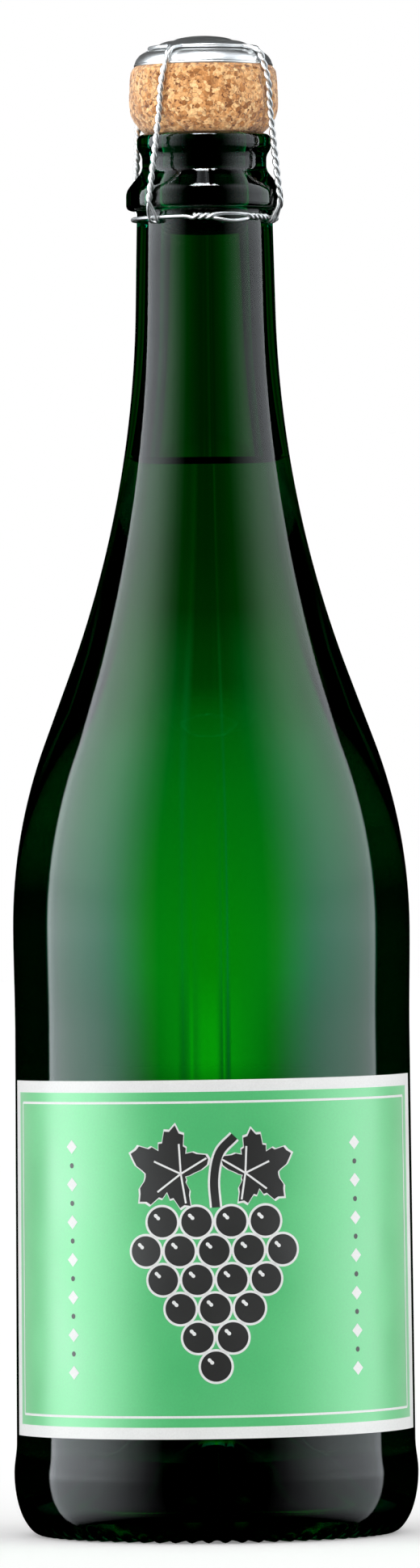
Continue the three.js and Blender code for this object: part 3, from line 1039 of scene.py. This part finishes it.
def vine_leaf(size, tilt):
    def outline(angle):
        a = angle - tilt
        lobes = 0.74 + 0.2 * math.cos(5 * a) + 0.06 * math.cos(25 * a)
        return size * lobes * (1 - 0.28 * math.exp(-((math.cos(a) + 1) / 0.16) ** 2))
    return outline


WHITE, BLACK = 0, 1


def shine_outline(angle):
    return 0.55 + 0.25 * math.cos(2 * (angle + math.pi / 4))


def diamond_outline(angle):
    return DIAMOND_RADIUS / (abs(math.cos(angle)) + abs(math.sin(angle)))


def grape_print():
    for row, count in enumerate(GRAPE_ROWS):
        v = GRAPE_TOP - row * GRAPE_STEP * GRAPE_ROW_SHARE
        for k in range(count):
            u = (k - (count - 1) / 2) * GRAPE_STEP
            blot(u, v, lambda a: GRAPE, WHITE, 1)
            blot(u, v, lambda a: GRAPE - GRAPE_EDGE, BLACK, 2)
            blot(u - SHINE_OFFSET, v + SHINE_OFFSET, shine_outline, WHITE, 3, 1)
    stalk = spline([(u, GRAPE_TOP + rise) for u, rise in STALK], 10)
    stroke(stalk, STALK_EDGE_WIDTH, WHITE, 1)
    stroke(stalk, STALK_WIDTH, BLACK, 2)
    for side, size, degrees in LEAVES:
        u, v = side * LEAF_PLACE[0], GRAPE_TOP + LEAF_PLACE[1]
        tilt = math.radians(degrees)
        blot(u, v, vine_leaf(size + LEAF_EDGE, tilt), WHITE, 1, 4)
        blot(u, v, vine_leaf(size, tilt), BLACK, 2, 4)
        start = (u - side * VEIN_START[0], v - VEIN_START[1])
        reach = np.linspace(0.0, size * VEIN_REACH, 8)
        for lobe in (-2, -1, 0, 1, 2):
            angle = tilt + lobe * VEIN_TURN
            vein = [(start[0] + d * math.cos(angle), start[1] + d * math.sin(angle)) for d in reach]
            stroke(vein, VEIN_WIDTH, WHITE, 3)


def frame_print():
    u = half_width - BORDER_SIDE - FRAME_INSET
    v = LABEL_HEIGHT / 2 - BORDER_TOP - FRAME_INSET
    for level in (-v, v):
        stroke([(x, level) for x in np.linspace(-u, u, 90)], FRAME_WIDTH, WHITE)
    for side in (-u, u):
        stroke([(side, y) for y in np.linspace(-v, v, 20)], FRAME_WIDTH, WHITE)
    for side in (-DIAMOND_PLACE, DIAMOND_PLACE):
        for k in range(-3, 4):
            blot(side, k * DIAMOND_STEP, diamond_outline, WHITE, 1, 1)
            if k < 3:
                blot(side, (k + 0.5) * DIAMOND_STEP, lambda a: DOT_RADIUS, BLACK, 1, 1)


frame_print()
grape_print()
add_piece("label_print", print_verts, print_faces, [WHITE_PAPER, BLACK_INK],
          face_slots=print_slots)


# Floor and studio.


def stage_object(name, points, faces, material):
    mesh = bpy.data.meshes.new(name)
    mesh.from_pydata(points, [], faces)
    mesh.materials.append(material)
    made = bpy.data.objects.new(name, mesh)
    bpy.context.scene.collection.objects.link(made)
    return made


def show_only_through_glass(piece):
    piece.visible_camera = False
    piece.visible_diffuse = False
    piece.visible_glossy = False
    piece.visible_shadow = False


def floor_piece():
    material, tree, shader = new_material("floor")
    shade = noise_value(tree, 3.0, 2.0)
    tree.links.new(add_ramp(tree, shade, [(0.3, 0.86), (0.7, 0.88)]), shader.inputs["Base Color"])
    set_inputs(shader, {
        "Roughness": 0.9,
        "Specular IOR Level": 0.0,
        "Emission Color": (1.0, 1.0, 1.0, 1.0),
        "Emission Strength": 0.24,
    })
    corners = [(x * FLOOR_HALF, y * FLOOR_HALF, 0) for x, y in ((-1, -1), (1, -1), (1, 1), (-1, 1))]
    floor = stage_object("floor", corners, [(0, 1, 2, 3)], material)
    floor.visible_glossy = False
    floor.visible_transmission = False


def black_material():
    material, _, shader = new_material("stage_black")
    set_inputs(shader, {
        "Base Color": (0.0, 0.0, 0.0, 1.0),
        "Specular IOR Level": 0.0,
    })
    return material


def black_stage(name, points, faces):
    """A black piece of the stage that is seen only through the glass."""
    black = stage_object(name, points, faces, STAGE_BLACK)
    show_only_through_glass(black)


def floor_shade():
    """A black disc under the bottle, with a cone up into the punt: painted shade for the dark floor under
    the bottle, seen only through the glass.
    """
    angles = np.linspace(0, 2 * math.pi, SHADE_SIDES, endpoint=False)
    points = [(r * math.cos(a), r * math.sin(a), z) for r, z in SHADE_RINGS for a in angles]
    last = SHADE_SIDES * (len(SHADE_RINGS) - 1)
    walls = []
    for low in range(0, last, SHADE_SIDES):
        high = low + SHADE_SIDES
        for i in range(SHADE_SIDES):
            k = (i + 1) % SHADE_SIDES
            walls.append((low + i, low + k, high + k, high + i))
    black_stage("floor_shade", points, walls + [range(last, last + SHADE_SIDES)])


def neck_flags():
    """Two black strips close behind the neck, which keep its edges dark above the wine."""
    corners = [FLAG_FOOT, (FLAG_OUTER, FLAG_FOOT[1]), (FLAG_OUTER, FLAG_HEAD[1]), FLAG_HEAD]
    for name, side in (("flag_left", -1), ("flag_right", 1)):
        black_stage(name, [(side * x, FLAG_BEHIND, z) for x, z in corners], [(0, 1, 2, 3)])


def back_card():
    """A small lit card close behind the bottle, seen only through the glass."""
    material = bpy.data.materials.new("back_card")
    material.use_nodes = True
    tree = material.node_tree
    tree.nodes.remove(tree.nodes["Principled BSDF"])
    place = add_node(tree, "ShaderNodeSeparateXYZ", {0: object_point(tree)})
    height = maths(tree, "DIVIDE", place.outputs["Z"], CARD_HEIGHT)
    across = maths(tree, "DIVIDE", maths(tree, "ABSOLUTE", place.outputs["X"]), CARD_HALF_WIDTH)

    def glow(up, outwards):
        """One curve up the card times another from its middle line outwards."""
        return maths(tree, "MULTIPLY", add_ramp(tree, height, up), add_ramp(tree, across, outwards))

    wide = glow([
        (0.03, 0.0), (0.05, 0.07), (0.1, 0.07), (0.2, 0.12), (0.25, 0.18), (0.28, 0.21), (0.305, 0.26),
        (0.336, 0.295), (0.362, 0.36), (0.38, 0.27), (0.4, 0.15), (0.422, 0.07), (0.45, 0.0),
    ], [
        (0.0, 0.42), (0.03, 0.5), (0.05, 0.66), (0.075, 0.92), (0.115, 1.0), (0.17, 0.88), (0.255, 0.6),
        (0.34, 0.5), (0.37, 0.0),
    ])
    middle = glow([
        (0.22, 0.0), (0.25, 0.25), (0.28, 0.335), (0.305, 0.42), (0.322, 0.4), (0.348, 0.29),
        (0.38, 0.12), (0.4, 0.0),
    ], [
        (0.0, 1.0), (0.03, 0.85), (0.05, 0.6), (0.075, 0.2), (0.11, 0.0),
    ])
    core = glow([
        (0.22, 0.0), (0.25, 0.42), (0.27, 0.33), (0.285, 0.2), (0.305, 0.0),
    ], [
        (0.0, 1.0), (0.012, 0.5), (0.025, 0.15), (0.04, 0.0),
    ])
    neck = glow([
        (0.575, 0.0), (0.6, 0.58), (0.735, 0.55), (0.75, 0.0),
    ], [
        (0.0, 0.038), (0.075, 0.042), (0.15, 0.06), (0.24, 0.09), (0.33, 0.12), (0.6, 0.15),
        (0.8, 0.08), (0.9, 0.0),
    ])
    flare = glow([
        (0.36, 0.0), (0.38, 0.3), (0.4, 1.3), (0.422, 1.7), (0.458, 1.6), (0.49, 1.2), (0.575, 0.9),
        (0.6, 0.0),
    ], [
        (0.0, 0.028), (0.04, 0.03), (0.08, 0.04), (0.125, 0.056), (0.176, 0.075), (0.24, 0.084),
        (0.31, 0.08), (0.4, 0.062), (0.48, 0.06), (0.53, 0.0),
    ])
    body = maths(tree, "ADD", wide, maths(tree, "ADD", middle, core))
    upper = maths(tree, "ADD", neck, flare)
    hue = add_ramp(tree, across, [
        (0.0, (0.3, 1.0, 0.02)), (0.03, (0.3, 1.0, 0.08)), (0.05, (0.3, 1.0, 0.45)),
        (0.075, (0.4, 1.0, 0.9)), (0.115, (0.6, 1.0, 1.15)), (0.25, (0.8, 1.0, 1.15)),
    ])
    higher = add_ramp(tree, height, [(0.32, 0.0), (0.375, 0.8)])
    greener = mix_colour(tree, higher, hue, (0.06, 1.0, 0.08, 1.0))
    body_glow = add_node(tree, "ShaderNodeEmission", {"Color": greener, "Strength": body})
    neck_glow = add_node(tree, "ShaderNodeEmission", {"Color": (0.3, 1.0, 0.05, 1.0), "Strength": upper})
    both = add_node(tree, "ShaderNodeAddShader", {0: body_glow.outputs[0], 1: neck_glow.outputs[0]})
    tree.links.new(both.outputs[0], tree.nodes["Material Output"].inputs["Surface"])
    ends = ((-1, 0), (1, 0), (1, CARD_HEIGHT), (-1, CARD_HEIGHT))
    corners = [(side * CARD_HALF_WIDTH, CARD_BEHIND, z) for side, z in ends]
    card = stage_object("back_card", corners, [(0, 1, 2, 3)], material)
    show_only_through_glass(card)


def studio():
    """White to the eye, soft white light for matt surfaces, two tall side lights and one overhead
    in glossy ones, and dimmer yellowish light for what is seen through the glass."""
    world = bpy.data.worlds.new("studio")
    bpy.context.scene.world = world
    world.use_nodes = True
    tree = world.node_tree
    tree.nodes.clear()
    spot = add_node(tree, "ShaderNodeTexCoord").outputs["Generated"]
    parts = add_node(tree, "ShaderNodeSeparateXYZ", {0: spot})
    x, y, z = parts.outputs
    azimuth = maths(tree, "ARCTAN2", x, maths(tree, "MULTIPLY", y, -1.0))
    turn = maths(tree, "DIVIDE", maths(tree, "ABSOLUTE", azimuth), math.pi)
    level = maths(tree, "MULTIPLY_ADD", z, 0.5, 0.5)
    ray = add_node(tree, "ShaderNodeLightPath").outputs

    def round_from_front(stops):
        """A curve by the angle in degrees from the front, the same to both sides."""
        return add_ramp(tree, turn, [(degrees / 180, value) for degrees, value in stops])

    def power_for(kind, others, these):
        links = {"Factor": ray[kind], "A": others, "B": these}
        return add_node(tree, "ShaderNodeMix", links).outputs[0]

    side_light = round_from_front([
        (31, 0.0), (40, 0.05), (50, 0.16), (60, 0.31), (70, 0.46), (80, 0.55), (92, 0.62), (104, 0.72),
        (107.5, 0.86), (110, 0.9), (111.2, 0.0),
    ])
    tall = add_ramp(tree, level, [
        (0.2, 0.0), (0.3, 0.5), (0.46, 0.68), (0.497, 0.97), (0.525, 0.93), (0.55, 0.88), (0.575, 0.97),
        (0.605, 0.98), (0.64, 1.0), (0.86, 0.98), (0.95, 0.0),
    ])
    to_right = maths(tree, "GREATER_THAN", x, 0.0)
    balance = maths(tree, "MULTIPLY_ADD", to_right, -RIGHT_STRIP_LOSS, 1.0)
    strips = maths(tree, "MULTIPLY", maths(tree, "MULTIPLY", side_light, tall), balance)
    near_front = round_from_front([(27, 1.0), (33, 0.0)])
    overhead = add_ramp(tree, level, [(0.905, 0.0), (0.92, 1.0), (0.975, 1.0), (0.985, 0.0)])
    top_light = maths(tree, "MULTIPLY", near_front, overhead)
    shine = maths(
        tree, "ADD",
        maths(tree, "MULTIPLY", strips, STRIP_POWER), maths(tree, "MULTIPLY", top_light, TOP_LIGHT_POWER),
    )
    low = maths(
        tree, "MULTIPLY",
        add_ramp(tree, level, [(0.12, 0.0), (0.18, 0.3), (0.3, 0.3), (0.34, 0.0)]),
        round_from_front([(28, 0.0), (45, 1.0), (100, 1.0), (112, 0.2), (140, 0.2), (155, 0.5)]),
    )
    lower = add_ramp(tree, level, [(0.36, 0.2), (0.43, 0.0)])
    in_front = round_from_front([(18, 0.0), (35, 1.0), (80, 1.0), (100, 0.0)])
    below = maths(tree, "MAXIMUM", low, maths(tree, "MULTIPLY", lower, in_front))
    through = maths(tree, "MULTIPLY_ADD", strips, 0.45, below)
    even = maths(tree, "MULTIPLY_ADD", balance, 0.5, 0.5)
    soft = maths(tree, "MULTIPLY_ADD", maths(tree, "MULTIPLY", side_light, even), 0.95, 0.74)
    power = power_for("Is Glossy Ray", soft, shine)
    power = power_for("Is Transmission Ray", power, through)
    power = power_for("Is Camera Ray", power, 1.0)
    tint = mix_colour(tree, ray["Is Glossy Ray"], (1.0, 1.0, 1.0, 1.0), (0.94, 1.0, 1.05, 1.0))
    tint = mix_colour(tree, ray["Is Transmission Ray"], tint, (1.0, 1.0, 0.4, 1.0))
    back = add_node(tree, "ShaderNodeBackground", {"Color": tint, "Strength": power})
    out = add_node(tree, "ShaderNodeOutputWorld")
    tree.links.new(back.outputs[0], out.inputs["Surface"])


def aimed(place, aim):
    """The matrix of a light or camera at a place, looking at a point."""
    look = aim - place
    return Matrix.Translation(place) @ look.to_track_quat("-Z", "Y").to_matrix().to_4x4()


def front_light(pieces):
    """A wide soft light over the camera for the cork and the metal. The glass doesn't mirror it."""
    data = bpy.data.lights.new("front_light", "AREA")
    data.shape = "RECTANGLE"
    data.size, data.size_y = FRONT_LIGHT_SIZE
    data.energy = FRONT_LIGHT_POWER
    light = bpy.data.objects.new("front_light", data)
    bpy.context.scene.collection.objects.link(light)
    light.matrix_world = aimed(FRONT_LIGHT_PLACE, FRONT_LIGHT_AIM)
    lit = bpy.data.collections.new("front_lit")
    for piece in pieces:
        lit.objects.link(piece)
    light.light_linking.receiver_collection = lit


def photo_camera():
    data = bpy.data.cameras.new("camera")
    camera = bpy.data.objects.new("camera", data)
    bpy.context.scene.collection.objects.link(camera)
    data.sensor_width = CAMERA_SENSOR
    data.lens = CAMERA_LENS
    camera.matrix_world = aimed(CAMERA_PLACE, CAMERA_AIM) @ Matrix.Rotation(CAMERA_ROLL, 4, "Z")
    bpy.context.scene.camera = camera


STAGE_BLACK = black_material()
floor_piece()
floor_shade()
neck_flags()
back_card()
studio()
front_light([stopper, plate, cage, belt])
photo_camera()
bpy.context.scene.view_settings.view_transform = "Standard"
bpy.context.scene.cycles.caustics_refractive = False

bpy.context.view_layer.update()
